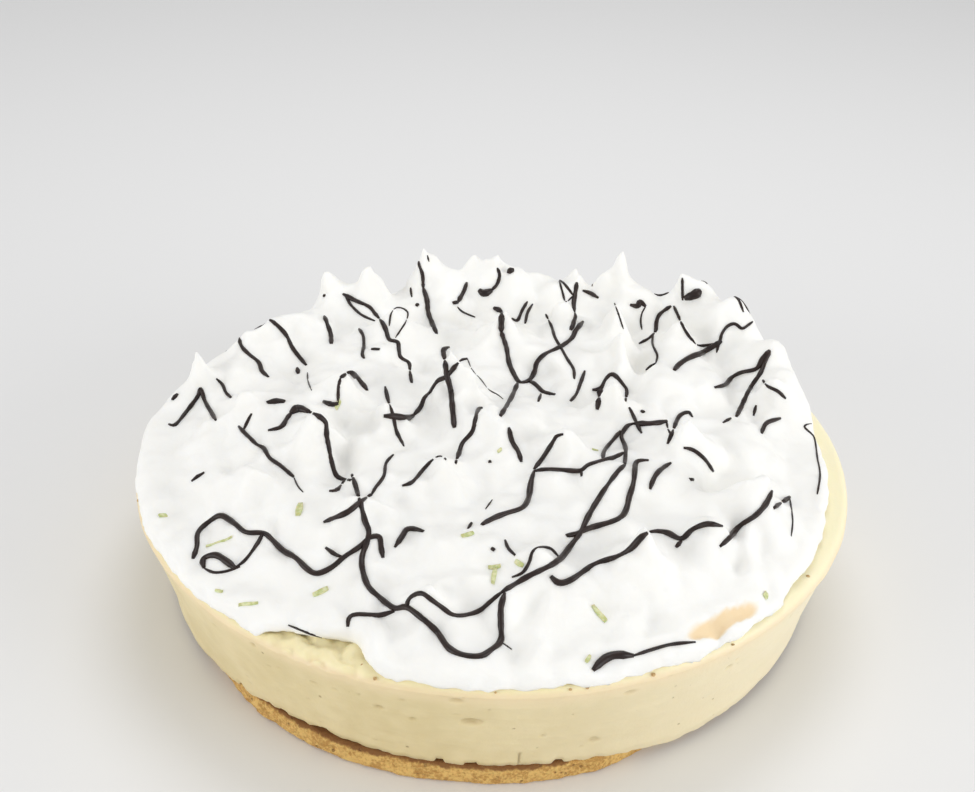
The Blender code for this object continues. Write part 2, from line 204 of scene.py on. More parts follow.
# Where the drizzle crosses the mound's level, seen from in front of the pie, in mm. Each strand has a
# thickness in mm and its points (x, y).
DRIZZLE_LEVEL = 58 * MM
FRONT_EYE = Vector((-2.4 * MM, -388 * MM, 301 * MM))
CAMERA_ROLL = math.radians(1.7)
STRANDS = (
    (1.7, (-74, -16), (-70, -14), (-69, -9), (-68, -5)),
    (3.0, (-68, -5), (-66, -2), (-62, -4)),
    (1.9, (-62, -4), (-59, -6), (-56, -10), (-55, -16), (-53, -26), (-50, -38), (-48, -42), (-44, -43)),
    (1.8, (-44, -40), (-42, -47), (-40, -55), (-38, -63), (-36, -70), (-37, -81), (-36, -88),
     (-34, -94), (-31, -98), (-26, -103), (-23, -102), (-18, -107), (-14, -112), (-12, -116),
     (-10, -119), (-6, -121), (-2, -121), (0, -119), (3, -115), (3, -108), (3, -101), (4, -95)),
    (1.6, (-46, -43), (-48, -49), (-50, -49)),
    (1.2, (-32, -28), (-34, -33), (-34, -40), (-36, -46), (-37, -50)),
    (1.7, (-37, -50), (-40, -54), (-43, -59), (-46, -62), (-50, -65)),
    (1.3, (-81, -6), (-82, -16)),
    (1.4, (-84, -14), (-82, -17), (-79, -21), (-76, -25), (-74, -26), (-71, -32), (-67, -36), (-62, -42)),
    (0.6, (-62, -42), (-60, -47), (-58, -50)),
    (1.5, (-107, -14), (-105, -15), (-103, -7), (-101, 4), (-101, 9), (-98, 1), (-95, -5), (-92, -11)),
    (1.2, (-97, 16), (-94, 12), (-92, 7), (-89, 3)),
    (2.3, (-108, 5), (-109, 1)),
    (1.2, (-114, -8), (-114, -10)),
    (2.6, (-77, 1), (-74, 2), (-71, 2)),
    (1.6, (-93, -46), (-90, -41)),
    (2.0, (-44, 11), (-47, 17), (-51, 23), (-54, 19)),
    (1.2, (-54, 19), (-54, 12), (-53, 2)),
    (2.0, (-53, 2), (-55, 1), (-58, 3)),
    (1.3, (-38, 14), (-36, 4), (-34, -4), (-32, -14), (-29, -23)),
    (2.2, (-37, -5), (-33, -5), (-29, -6), (-27, -4)),
    (1.6, (-27, -4), (-25, 1), (-24, 7), (-22, 11), (-20, 19), (-17, 22), (-14, 30), (-12, 34), (-10, 35)),
    (0.5, (-10, 35), (-8, 27), (-5, 21), (-2, 14), (1, 11), (3, 8)),
    (2.0, (-17, 43), (-19, 41), (-18, 33), (-17, 24), (-15, 12), (-14, 0), (-13, -11)),
    (1.6, (-3, 1), (-5, 2), (-6, -4), (-7, -13), (-10, -20), (-11, -26), (-12, -32)),
    (1.3, (-15, -30), (-17, -28), (-19, -30), (-22, -36), (-25, -43), (-28, -45)),
    (1.7, (-85, -84), (-85, -78), (-86, -72), (-84, -67), (-81, -63), (-78, -65), (-75, -68),
     (-72, -71), (-67, -71), (-64, -74), (-60, -79), (-56, -82), (-52, -87), (-49, -89), (-45, -86),
     (-42, -81), (-38, -76), (-36, -72), (-33, -71), (-32, -76), (-31, -81)),
    (1.4, (-48, -77), (-45, -80), (-43, -81)),
    (1.3, (-67, -71), (-68, -77), (-70, -84), (-72, -87)),
    (2.1, (-72, -88), (-75, -85), (-79, -82), (-82, -84), (-81, -88)),
    (1.0, (-81, -88), (-78, -90), (-74, -89), (-71, -87)),
    (0.7, (-54, -111), (-48, -114), (-41, -117), (-36, -118)),
    (1.6, (-38, -111), (-38, -107), (-36, -106), (-30, -106), (-26, -104)),
    (1.4, (-23, -103), (-22, -98), (-19, -96), (-17, -98), (-13, -102), (-10, -105), (-7, -105),
     (-3, -103), (0, -99), (3, -95)),
    (1.7, (3, -95), (10, -88), (16, -83), (20, -79), (23, -73), (26, -67), (29, -58), (33, -48),
     (37, -39), (40, -33), (42, -30)),
    (1.5, (42, -30), (43, -20), (42, -14), (43, -10), (45, -6), (47, -5)),
    (2.1, (47, -5), (53, -5), (58, -3)),
    (1.0, (58, -3), (58, -8), (59, -12)),
    (1.3, (46, 5), (47, 0), (48, -6), (49, -11)),
    (1.4, (42, -10), (39, -16), (36, -22), (35, -28)),
    (1.7, (42, -23), (39, -26), (35, -28), (30, -31), (28, -34), (22, -34), (17, -34), (13, -35)),
    (1.8, (13, -35), (12, -41), (11, -50), (9, -55), (4, -58), (0, -61), (-3, -64)),
    (1.4, (28, -34), (28, -37)),
    (1.5, (13, -34), (16, -27), (19, -19), (21, -14), (23, -13)),
    (1.8, (50, -27), (46, -28), (45, -33), (44, -40), (42, -48), (41, -53), (39, -58), (35, -61),
     (29, -64), (25, -67), (22, -68)),
    (1.7, (57, -28), (55, -30), (52, -34), (50, -39), (49, -43)),
    (1.4, (62, -19), (65, -20), (68, -25), (70, -32)),
    (1.5, (57, -17), (59, -11), (61, -4), (63, 1), (66, 3), (67, 0)),
    (1.8, (17, -87), (19, -90), (22, -89), (26, -85), (30, -81), (37, -77), (41, -73), (44, -68),
     (47, -65), (52, -65), (56, -68), (60, -63), (65, -60), (69, -61)),
    (1.7, (56, -69), (54, -72)),
    (1.9, (87, -42), (84, -49), (80, -55), (75, -60), (70, -67), (67, -71)),
    (1.9, (92, -45), (86, -51)),
    (0.6, (92, -46), (91, -56), (90, -61), (89, -65)),
    (1.0, (6, -88), (9, -86), (11, -81), (12, -76), (14, -74), (17, -74), (20, -79)),
    (1.2, (4, -71), (5, -75), (7, -78)),
    (1.7, (5, -10), (6, -18), (8, -24), (9, -30)),
    (1.7, (8, 19), (6, 10), (4, 3), (2, -3)),
    (2.1, (-1, 75), (2, 72), (2, 65), (2, 56)),
    (1.8, (2, 56), (4, 44), (5, 33), (7, 24), (9, 19), (12, 21), (14, 27), (15, 34), (18, 40),
     (23, 45), (28, 52), (30, 59), (33, 66)),
    (1.8, (12, 21), (15, 17), (17, 13), (21, 12)),
    (1.3, (16, 12), (15, 7)),
    (1.2, (19, 71), (21, 61), (22, 53), (24, 45), (26, 37), (28, 30), (28, 23)),
    (1.8, (32, 99), (31, 90), (30, 80), (30, 70), (29, 63), (28, 59)),
    (1.1, (24, 103), (27, 97), (30, 88)),
    (0.9, (25, 100), (26, 90), (27, 82), (30, 87)),
    (1.6, (34, 92), (37, 90), (40, 86)),
    (0.8, (39, 105), (38, 96)),
    (1.3, (12, 81), (10, 74), (8, 65), (6, 67)),
    (1.2, (14, 79), (12, 72), (11, 63)),
    (1.3, (32, 29), (30, 20), (28, 12), (26, 8)),
    (1.6, (34, 16), (37, 17), (39, 23), (42, 27), (45, 20), (46, 16), (45, 9)),
    (2.2, (37, 17), (36, 9), (35, 3)),
    (0.7, (46, 82), (47, 72), (48, 61)),
    (2.0, (52, 81), (55, 80), (56, 84), (58, 80)),
    (0.7, (58, 80), (56, 74), (55, 67), (55, 61)),
    (1.6, (68, 81), (63, 74), (61, 67), (60, 60), (57, 54), (53, 50)),
    (0.9, (59, 58), (58, 50), (59, 42), (58, 36)),
    (1.3, (58, 36), (54, 31)),
    (1.2, (69, 81), (70, 72), (71, 63), (73, 54), (75, 50), (80, 51), (83, 53), (85, 60), (88, 66),
     (91, 68), (93, 64), (95, 66), (98, 70)),
    (2.2, (84, 54), (80, 49), (75, 44), (70, 40), (66, 35), (64, 31)),
    (1.0, (83, 53), (81, 45)),
    (1.1, (75, 106), (74, 96), (73, 86)),
    (3.4, (74, 88), (78, 91), (81, 95)),
    (1.7, (101, 48), (97, 41), (94, 34), (88, 31), (84, 27), (81, 22), (77, 20)),
    (1.8, (101, 48), (98, 40), (95, 31), (90, 21), (86, 11), (82, 1)),
    (1.3, (80, 0), (77, -3)),
    (1.3, (95, 26), (96, 22), (99, 19), (101, 14)),
    (1.2, (90, 9), (88, 2)),
    (1.6, (97, 1), (92, -2), (90, -6), (89, -9)),
    (0.7, (109, -2), (106, -2), (104, -4), (106, -9), (106, -14), (105, -22), (104, -32), (101, -43)),
    (1.7, (-12, 96), (-13, 88), (-15, 79)),
    (2.6, (-15, 79), (-17, 78)),
    (0.8, (-15, 75), (-13, 71), (-8, 67)),
    (1.5, (0, 110), (1, 103), (0, 95), (-2, 90)),
    (2.8, (-2, 90), (-5, 87), (-7, 90)),
    (4.0, (5, 109), (6, 106)),
    (1.4, (-32, 121), (-32, 112), (-30, 102), (-29, 90)),
    (1.9, (-29, 90), (-27, 80), (-26, 70), (-24, 61), (-22, 53)),
    (0.8, (-29, 120), (-28, 114)),
    (1.1, (-34, 90), (-33, 82)),
    (2.4, (-31, 76), (-30, 75)),
    (1.7, (-60, 83), (-55, 78), (-49, 73), (-46, 67), (-43, 61), (-41, 55), (-39, 47), (-36, 46),
     (-35, 39), (-34, 34), (-31, 31), (-30, 24), (-29, 17)),
    (1.1, (-59, 82), (-56, 74), (-51, 66), (-45, 61)),
    (0.7, (-40, 58), (-40, 68), (-38, 73), (-34, 70), (-34, 62), (-37, 49)),
    (1.4, (-51, 55), (-49, 50), (-48, 42), (-48, 36), (-47, 33)),
    (1.9, (-45, 40), (-42, 40)),
    (1.9, (-65, 64), (-63, 57), (-61, 50), (-60, 43)),
    (2.0, (-67, 82), (-67, 80)),
    (1.6, (-85, 60), (-81, 55), (-77, 48), (-74, 40), (-71, 34), (-67, 27)),
    (1.5, (-94, 51), (-94, 46), (-92, 39), (-88, 33), (-84, 28), (-82, 22), (-79, 18)),
    (1.8, (-70, 25), (-69, 21)),
    (0.6, (-66, 22), (-65, 16), (-63, 10)),
    (2.3, (27, -125), (30, -121), (33, -119), (38, -119)),
    (1.0, (38, -119), (44, -116), (49, -114), (55, -113)),
    (0.5, (3, -115), (6, -118)),
    (1.6, (-28, -76), (-26, -70), (-25, -67), (-22, -67), (-20, -68)),
    (1.3, (-6, -63), (-7, -66)),
    (0.7, (0, -51), (-2, -56)),
    (1.9, (0, -75), (1, -76)),
    (1.7, (-1, -30), (-1, -31)),
    (2.1, (50, 3), (51, 2)),
    (2.2, (62, -37), (63, -37)),
)

BACK_STRANDS = 15  # on the far side of the back peaks, straight down on to the meringue

# Zest, in mm: x and y as for the drizzle, length, width and turn in degrees.
ZEST = (
    (-58, -59, 5.0, 2.2, 88), (-47, -97, 4.5, 1.8, 25), (-98, -64, 2.6, 1.6, 40),
    (-75, -98, 2.6, 0.8, -25), (-66, -103, 5.5, 0.8, 5), (1, -87, 6.5, 1.4, 84),
    (1, -84, 3.5, 1.2, 10), (30, -103, 5.5, 1.6, -50), (77, -93, 2.2, 1.4, 60),
    (26, -121, 2.4, 1.0, 60), (-53, 1, 2.6, 1.2, 60), (-79, -76, 8, 0.5, 2),
    (33, -22, 2.0, 0.9, 0), (2, -24, 1.6, 0.8, 40), (8, -82, 3, 1.0, -40), (-7, -69, 4, 1.4, 30),
)


class Socket:
    """A socket of a material's nodes. Sums and products on it add Math nodes."""

    def __init__(self, tree, link=None):
        self.tree = tree
        self.link = link

    def node(self, kind, settings=None, values=None, output=0):
        """A new node: its settings first, then the value or the link of each socket named."""
        made = self.tree.nodes.new(kind)
        for name, setting in (settings or {}).items():
            if name == "stops":
                self.fill_ramp(made.color_ramp, setting)
            else:
                setattr(made, name, setting)
        for name, value in (values or {}).items():
            socket = made.inputs[name]
            if isinstance(value, Socket):
                self.tree.links.new(value.link, socket)
            else:
                socket.default_value = value
        return Socket(self.tree, None if output is None else made.outputs[output])

    @staticmethod
    def fill_ramp(ramp, stops):
        while len(ramp.elements) < len(stops):
            ramp.elements.new(1)
        for element, (place, colour) in zip(ramp.elements, stops):
            element.position = place
            element.color = colour

    def maths(self, operation, first, second=0.0, clamp=False):
        settings = {"operation": operation, "use_clamp": clamp}
        return self.node("ShaderNodeMath", settings, {0: first, 1: second})

    def __add__(self, other):
        return self.maths("ADD", self, other)

    def __radd__(self, other):
        return self.maths("ADD", other, self)

    def __sub__(self, other):
        return self.maths("SUBTRACT", self, other)

    def __rsub__(self, other):
        return self.maths("SUBTRACT", other, self)

    def __mul__(self, other):
        return self.maths("MULTIPLY", self, other)

    def __rmul__(self, other):
        return self.maths("MULTIPLY", other, self)

    def __truediv__(self, other):
        return self.maths("DIVIDE", self, other)

    def between(self, low, high):
        """0 at low, 1 at high, and smooth from one to the other."""
        values = {"Value": self, "From Min": low, "From Max": high}
        return self.node("ShaderNodeMapRange", {"interpolation_type": "SMOOTHSTEP"}, values)

    def mix(self, first, second):
        """A colour from first to second as this value goes from 0 to 1."""
        return self.node("ShaderNodeMix", {"data_type": "RGBA"}, {0: self, 6: first, 7: second}, 2)


def start_material(name):
    """(the material, a socket with its tree, Object coordinates, height above the table)."""
    made = bpy.data.materials.new(name)
    made.use_nodes = True
    made.node_tree.nodes.clear()
    tree = Socket(made.node_tree)
    place = tree.node("ShaderNodeTexCoord", output="Object")
    height = tree.node("ShaderNodeSeparateXYZ", values={"Vector": place}, output="Z")
    return made, tree, place, height


def finish_material(tree, values):
    shader = tree.node("ShaderNodeBsdfPrincipled", values=values)
    tree.node("ShaderNodeOutputMaterial", values={"Surface": shader}, output=None)


def speckle(tree, place, size, detail=2.0, roughness=0.5):
    """Cloudy noise whose blotches are about this size in metres."""
    values = {"Vector": place, "Scale": 1 / size, "Detail": detail, "Roughness": roughness}
    return tree.node("ShaderNodeTexNoise", values=values)


def bumped(tree, height, depth):
    return tree.node("ShaderNodeBump", values={"Height": height, "Distance": depth, "Strength": 1.0})


def meringue_finish():
    made, tree, place, height = start_material("whipped_meringue")
    soft = speckle(tree, place, 9 * MM)
    fine = speckle(tree, place, 1.6 * MM, 3.0, 0.6)
    colour = soft.between(0.35, 0.75).mix((0.905, 0.898, 0.865, 1), (0.925, 0.922, 0.895, 1))
    thin = tree.node("ShaderNodeAttribute", {"attribute_name": "thin_cover"}, output="Fac")
    colour = thin.mix(colour, (0.87, 0.69, 0.44, 1))
    relief = soft * 0.6 + fine * 0.4
    finish_material(tree, {
        "Base Color": colour,
        "Roughness": 0.42 + fine * 0.16,
        "Normal": bumped(tree, relief, 0.25 * MM),
        "Subsurface Weight": 0.35,
        "Subsurface Radius": (1.0, 0.95, 0.85),
        "Subsurface Scale": 3 * MM,
        "Specular IOR Level": 0.35,
    })
    return made


def filling_finish():
    made, tree, place, height = start_material("set_lemon_cream")
    cloud = speckle(tree, place, 24 * MM)
    mottle = speckle(tree, place, 6 * MM, 3.0)
    grain = speckle(tree, place, 1.2 * MM, 3.0, 0.6)
    specks = tree.node("ShaderNodeTexVoronoi", values={"Vector": place, "Scale": 1 / (5.0 * MM)})
    chosen = speckle(tree, place, 7 * MM).between(0.5, 0.6)
    # Small pits in the wall: sunk by the bump below, and darkened in colour as painted shade in them.
    shaded_pit = (1 - specks.between(0.05, 0.11)) * chosen
    hole = tree.node("ShaderNodeAttribute", {"attribute_name": "hole_depth"}, output="Fac")
    body = (cloud * 0.6 + mottle * 0.4).between(0.35, 0.68).mix((0.69, 0.575, 0.315, 1), (0.755, 0.64, 0.375, 1))
    side = tree.node("ShaderNodeSeparateXYZ", values={"Vector": place}, output="X")
    # Painted light: the wall is painted paler towards the right, as if lit more from that side.
    painted_right_light = side.between(-0.03, 0.11)
    body = painted_right_light.mix(body, (0.86, 0.77, 0.55, 1))
    peach = height.between(FILLING_TOP - 10 * MM, FILLING_TOP - 2 * MM) * (0.35 + cloud * 0.5)
    body = peach.mix(body, (0.90, 0.73, 0.48, 1))
    top = height.between(FILLING_TOP - 2.2 * MM, FILLING_TOP - 0.4 * MM)
    # Painted light: the rim is also painted paler towards the right.
    rim = painted_right_light.mix((0.89, 0.79, 0.48, 1), (0.94, 0.87, 0.60, 1))
    body = top.mix(body, rim)
    # Painted shade: the pits are coloured darker, as if shade fell in them.
    body = (shaded_pit * 0.6).mix(body, (0.42, 0.30, 0.13, 1))
    # Painted shade: the air holes are coloured darker the deeper they reach.
    body = (hole * 0.42).mix(body, (0.46, 0.34, 0.15, 1))
    relief = grain * 0.5 - shaded_pit * 1.5
    finish_material(tree, {
        "Base Color": body,
        "Roughness": 0.5 - grain * 0.12,
        "Normal": bumped(tree, relief, 0.2 * MM),
        "Subsurface Weight": 0.2,
        "Subsurface Radius": (1.0, 0.8, 0.45),
        "Subsurface Scale": 2.0 * MM,
    })
    return made


def biscuit_finish():
    made, tree, place, height = start_material("baked_biscuit")
    crumb = speckle(tree, place, 4.5 * MM, 4.0, 0.7)
    grain = speckle(tree, place, 0.9 * MM, 3.0, 0.65)
    gaps = tree.node("ShaderNodeTexVoronoi", values={"Vector": place, "Scale": 1 / (2.4 * MM)})
    # Gaps between crumbs: sunk by the bump, and coloured darker as painted shade in them.
    shaded_gap = (1 - gaps.between(0.10, 0.24)) * speckle(tree, place, 5 * MM).between(0.48, 0.58)
    toast = (crumb * 0.5 + grain * 0.5).between(0.40, 0.58)
    colour = toast.mix((0.44, 0.235, 0.060, 1), (0.71, 0.460, 0.148, 1))
    # Painted shadow: the biscuit's top edge, in the gap under the hanging filling, is painted near black.
    jagged = height + (crumb - 0.5) * (3 * MM)
    painted_gap_shadow = jagged.between(BISCUIT_HIGH.z - 1.5 * MM, BISCUIT_HIGH.z - 0.7 * MM)
    colour = (painted_gap_shadow * 0.9).mix(colour, (0.17, 0.06, 0.014, 1))
    colour = (shaded_gap * 0.7).mix(colour, (0.30, 0.14, 0.04, 1))
    finish_material(tree, {
        "Base Color": colour,
        "Roughness": 0.8 + grain * 0.15,
        "Normal": bumped(tree, crumb * 0.5 + grain * 0.6 - shaded_gap, 0.6 * MM),
        "Subsurface Weight": 0.08,
        "Subsurface Scale": 1 * MM,
    })
    return made


def chocolate_finish():
    made, tree, place, height = start_material("dark_chocolate")
    grain = speckle(tree, place, 2.0 * MM, 2.0)
    colour = grain.between(0.3, 0.7).mix((0.012, 0.006, 0.005, 1), (0.024, 0.012, 0.009, 1))
    finish_material(tree, {
        "Base Color": colour,
        "Roughness": 0.34 + grain * 0.12,
        "Specular IOR Level": 0.35,
        "Normal": bumped(tree, grain, 0.15 * MM),
    })
    return made


def zest_finish():
    made, tree, place, height = start_material("citrus_zest")
    grain = speckle(tree, place, 1.5 * MM, 2.0)
    colour = grain.between(0.35, 0.65).mix((0.50, 0.54, 0.22, 1), (0.70, 0.71, 0.42, 1))
    finish_material(tree, {
        "Base Color": colour,
        "Roughness": 0.5 + grain * 0.1,
        "Normal": bumped(tree, grain, 0.2 * MM),
        "Subsurface Weight": 0.2,
        "Subsurface Scale": 1 * MM,
    })
    return made


def loose_crumb_finish():
    made, tree, place, height = start_material("loose_crumb")
    grain = speckle(tree, place, 0.6 * MM, 3.0)
    colour = grain.between(0.35, 0.65).mix((0.42, 0.25, 0.10, 1), (0.66, 0.46, 0.22, 1))
    finish_material(tree, {
        "Base Color": colour,
        "Roughness": 0.8 + grain * 0.1,
        "Normal": bumped(tree, grain, 0.2 * MM),
    })
    return made


def floor_finish():
    made, tree, place, height = start_material("pale_floor")
    finish_material(tree, {"Base Color": (0.80, 0.80, 0.80, 1), "Roughness": 0.7})
    return made


def deselect():
    if bpy.context.mode != "OBJECT":
        bpy.ops.object.mode_set(mode="OBJECT")
    bpy.ops.object.select_all(action="DESELECT")


def take_up(piece):
    """Makes a piece the only one selected and the active one."""
    deselect()
    piece.select_set(True)
    bpy.context.view_layer.objects.active = piece


def new_piece(name):
    """The primitive just added, named, with its place moved into its mesh."""
    piece = bpy.context.active_object
    piece.name = name
    piece.data.name = name
    bpy.ops.object.transform_apply(location=True, rotation=True, scale=True)
    return piece


def corners(piece):
    """The corners' places as rows of x, y, z."""
    places = np.empty(len(piece.data.vertices) * 3)
    piece.data.vertices.foreach_get("co", places)
    return places.reshape(-1, 3)


def set_corners(piece, places):
    piece.data.vertices.foreach_set("co", places.ravel())
    piece.data.update()


def select_corners(piece, chosen):
    """Selects these corners, given as a row of booleans, and leaves the piece in edit mode."""
    take_up(piece)
    bpy.ops.object.mode_set(mode="EDIT")
    bpy.ops.mesh.select_mode(type="VERT")
    bpy.ops.mesh.select_all(action="DESELECT")
    bpy.ops.object.mode_set(mode="OBJECT")
    piece.data.vertices.foreach_set("select", chosen)
    bpy.ops.object.mode_set(mode="EDIT")


def remesh(piece, size):
    take_up(piece)
    even = piece.modifiers.new("even", "REMESH")
    even.mode = "VOXEL"
    even.voxel_size = size
    bpy.ops.object.modifier_apply(modifier="even")


def smoothstep(value):
    value = np.clip(value, 0, 1)
    return value * value * (3 - 2 * value)


def around(table, angle):
    """The value that a table of (degrees, value) gives at angles in radians."""
    degrees = np.degrees(angle)
    value = np.zeros_like(degrees)
    for (start, first), (end, second) in zip(table, table[1:]):
        here = (degrees >= start) & (degrees <= end)
        share = smoothstep((degrees - start) / (end - start))
        value = np.where(here, first + (second - first) * share, value)
    return value


def edge_radius(angle):
    """Distance from the axis to the meringue's edge at angles in radians."""
    return RIM_RADIUS - CM * around(EDGE_SETBACK, angle)


def polar(places):
    return np.hypot(places[:, 0], places[:, 1]), np.arctan2(places[:, 1], places[:, 0])


def lumps(places, size, seed=0.0):
    """Smooth noise from about -1 to 1 at each place, whose lumps are about this size."""
    away = Vector((seed, seed * 0.7, -seed))
    return np.array([noise.noise(Vector(place) / size + away) for place in places])


def outward(piece):
    """The direction in which the surface faces at each corner."""
    facing = np.empty(len(piece.data.vertices) * 3)
    piece.data.vertices.foreach_get("normal", facing)
    return facing.reshape(-1, 3)


def pillows(places, size, seed=0.0):
    """Rounded lumps with creases between them, from about -0.4 to 1."""
    return 2.2 * np.abs(lumps(places, size, seed)) - 0.4


def turned(name, sides, profile):
    """A closed round block: rings of (radius, height) from its foot up, each extruded from the last."""
    (foot_radius, foot), (first_radius, first) = profile[:2]
    middle = (foot + first) / 2
    deselect()
    bpy.ops.mesh.primitive_cylinder_add(
        vertices=sides, radius=foot_radius, depth=first - foot, end_fill_type="NGON", location=(0, 0, middle)
    )
    piece = new_piece(name)
    select_corners(piece, corners(piece)[:, 2] > middle)
    share = first_radius / foot_radius
    bpy.ops.transform.resize(value=(share, share, 1), center_override=(0, 0, 0))
    for (radius, height), (next_radius, next_height) in zip(profile[1:], profile[2:]):
        move = {"value": (0, 0, next_height - height)}
        bpy.ops.mesh.extrude_region_move(TRANSFORM_OT_translate=move)
        share = next_radius / radius
        bpy.ops.transform.resize(value=(share, share, 1), center_override=(0, 0, 0))
    bpy.ops.object.mode_set(mode="OBJECT")
    return piece


def spread_meringue():
    """A disc with the smooth band that the spatula left, climbing to the middle."""
    radius = 1.0
    height = MERINGUE_FOOT
    profile = [(radius, height)]
    for inwards, upwards in SPREAD_RINGS:
        radius -= inwards * MM / RIM_RADIUS
        height += upwards * MM
        profile.append((radius, height))
    piece = turned("meringue_top", 240, profile)
    places = corners(piece)
    radius, angle = polar(places)
    places[:, :2] *= edge_radius(angle)[:, None]
    set_corners(piece, places)
    return piece


def pull(piece, x, y, amount, spread, falloff):
    """Moves the corner on top nearest to x, y, with the ones around it following less and less."""
    places = corners(piece)
    away = np.hypot(places[:, 0] - x, places[:, 1] - y) - 0.5 * places[:, 2]
    away[places[:, 2] < MERINGUE_FOOT + 3 * MM] = 1
    chosen = np.zeros(len(places), bool)
    chosen[np.argmin(away)] = True
    take_up(piece)
    piece.data.vertices.foreach_set("select", chosen)
    bpy.ops.object.mode_set(mode="EDIT")
    bpy.ops.transform.translate(
        value=amount, use_proportional_edit=True, proportional_edit_falloff=falloff, proportional_size=spread
    )
    bpy.ops.object.mode_set(mode="OBJECT")


def height_at(piece, x, y):
    places = corners(piece)
    near = np.hypot(places[:, 0] - x, places[:, 1] - y) < 3 * MM
    return places[near, 2].max()


def hide_underside(piece):
    """The pulls leave hidden corners alone, so the meringue stays flat on the filling."""
    places = corners(piece)
    select_corners(piece, places[:, 2] < MERINGUE_FOOT + 2.5 * MM)
    bpy.ops.mesh.hide(unselected=False)
    bpy.ops.mesh.select_all(action="DESELECT")
    bpy.ops.object.mode_set(mode="OBJECT")


def pull_peaks(piece):
    """Broad heaps first, then each peak in three pulls: its foot, its shaft and its blunt leaning tip."""
    hide_underside(piece)
    for x, y, top, spread in HEAPS:
        rise = FILLING_TOP + top * CM - height_at(piece, x * CM, y * CM)
        if rise > 0:
            pull(piece, x * CM, y * CM, (0, 0, rise), spread * CM, "SMOOTH")
    for x, y, depth, spread in HOLLOWS:
        pull(piece, x * CM, y * CM, (0, 0, -depth * CM), spread * CM, "SMOOTH")
    for x, y, tip, spread, along_x, along_y in PEAKS:
        rise = FILLING_TOP + tip * CM + TIP_LOSS - height_at(piece, x * CM, y * CM)
        if rise <= 0:
            continue
        pull(piece, x * CM, y * CM, (0, 0, 0.40 * rise), spread * CM, "SHARP")
        pull(piece, x * CM, y * CM, (0, 0, 0.32 * rise), 0.6 * spread * CM, "SMOOTH")
        lean = (along_x * CM, along_y * CM, 0.28 * rise)
        pull(piece, x * CM, y * CM, lean, 0.34 * spread * CM, "SMOOTH")
    take_up(piece)
    bpy.ops.object.mode_set(mode="EDIT")
    bpy.ops.mesh.reveal(select=False)
    bpy.ops.object.mode_set(mode="OBJECT")


def from_line(places, points):
    """Each place's distance in plan from the line through the points, which are in cm."""
    flat = places[:, :2]
    nearest = np.full(len(places), 1.0)
    for start, end in zip(points, points[1:]):
        start = np.array(start) * CM
        along = np.array(end) * CM - start
        share = np.clip((flat - start) @ along / (along @ along), 0, 1)
        away = np.linalg.norm(flat - start - share[:, None] * along, axis=1)
        nearest = np.minimum(nearest, away)
    return nearest


def drag_folds(places):
    """How far the spatula's creases and folds lower or raise the surface."""
    lift = np.zeros(len(places))
    wander = lumps(places, 11 * MM, 8.0) * 1.5 * MM
    for depth, width, *points in DRAGS:
        away = np.abs(from_line(places, points) + wander) / (width * MM)
        lift += depth * MM * smoothstep(1 - away)
    return lift


def flute_peaks(places):
    """Soft flutes that run down from each tip."""
    lift = np.zeros(len(places))
    for number, (x, y, tip, spread, along_x, along_y) in enumerate(PEAKS):
        east = places[:, 0] - x * CM
        north = places[:, 1] - y * CM
        away = np.hypot(east, north) / (spread * CM)
        share = np.clip(1.1 - away, 0, 1) * smoothstep(away / 0.3)
        turn = np.arctan2(north, east) + 1.2 * away
        lift += share * (1 - 2 * np.abs(np.sin(2 * turn + number * 1.7))) * 1.3 * MM
    return lift


def whip(piece):
    """The unevenness of whipped meringue, strongest on the heaps and gentle on the band that was smoothed."""
    places = corners(piece)
    facing = outward(piece)
    radius, angle = polar(places)
    inward = edge_radius(angle) - radius
    front = smoothstep(1.6 - np.abs(angle + math.pi / 2))
    rough = np.maximum(smoothstep((inward - 7 * MM) / (14 * MM)), 0.30 + 0.6 * front)
    free = smoothstep((places[:, 2] - MERINGUE_FOOT) / (2.5 * MM))
    bulge = pillows(places, 17 * MM) * 1.7 * MM * rough
    bulge += pillows(places, 9 * MM, 3.1) * 0.9 * MM * rough
    bulge += lumps(places, 4.5 * MM, 6.2) * 0.35 * MM
    places += facing * (bulge * free)[:, None]
    places[:, 2] += (drag_folds(places) + flute_peaks(places)) * free * rough
    places[:, 2] = np.minimum(places[:, 2], MERINGUE_HIGH.z + 1 * MM)
    set_corners(piece, places)


def droop_edge(piece):
    """The edge hangs unevenly over the rounded rim of the filling."""
    places = corners(piece)
    radius, angle = polar(places)
    over = smoothstep((radius - RIM_RADIUS + 3.5 * MM) / (3 * MM))
    low = smoothstep(1 - (places[:, 2] - MERINGUE_FOOT) / (5 * MM))
    rim = on_rim(angle)
    hang = 1.2 + 1.3 * lumps(rim, 14 * MM, 1.0) + 1.4 * lumps(rim, 4 * MM, 2.0)
    places[:, 2] -= np.clip(hang, 0, 3) * MM * over * low
    set_corners(piece, places)


def close_underside(piece):
    """The remeshed underside becomes one flat face."""
    places = corners(piece)
    places[:, 2] = np.where(places[:, 2] < MERINGUE_FOOT + 0.6 * MM, MERINGUE_FOOT, places[:, 2])
    set_corners(piece, places)
    select_corners(piece, places[:, 2] < MERINGUE_FOOT + 0.01 * MM)
    bpy.ops.mesh.delete(type="FACE")
    bpy.ops.mesh.select_all(action="DESELECT")
    bpy.ops.mesh.select_non_manifold()
    bpy.ops.mesh.edge_face_add()
    bpy.ops.mesh.select_all(action="SELECT")
    bpy.ops.mesh.normals_make_consistent(inside=False)
    bpy.ops.object.mode_set(mode="OBJECT")


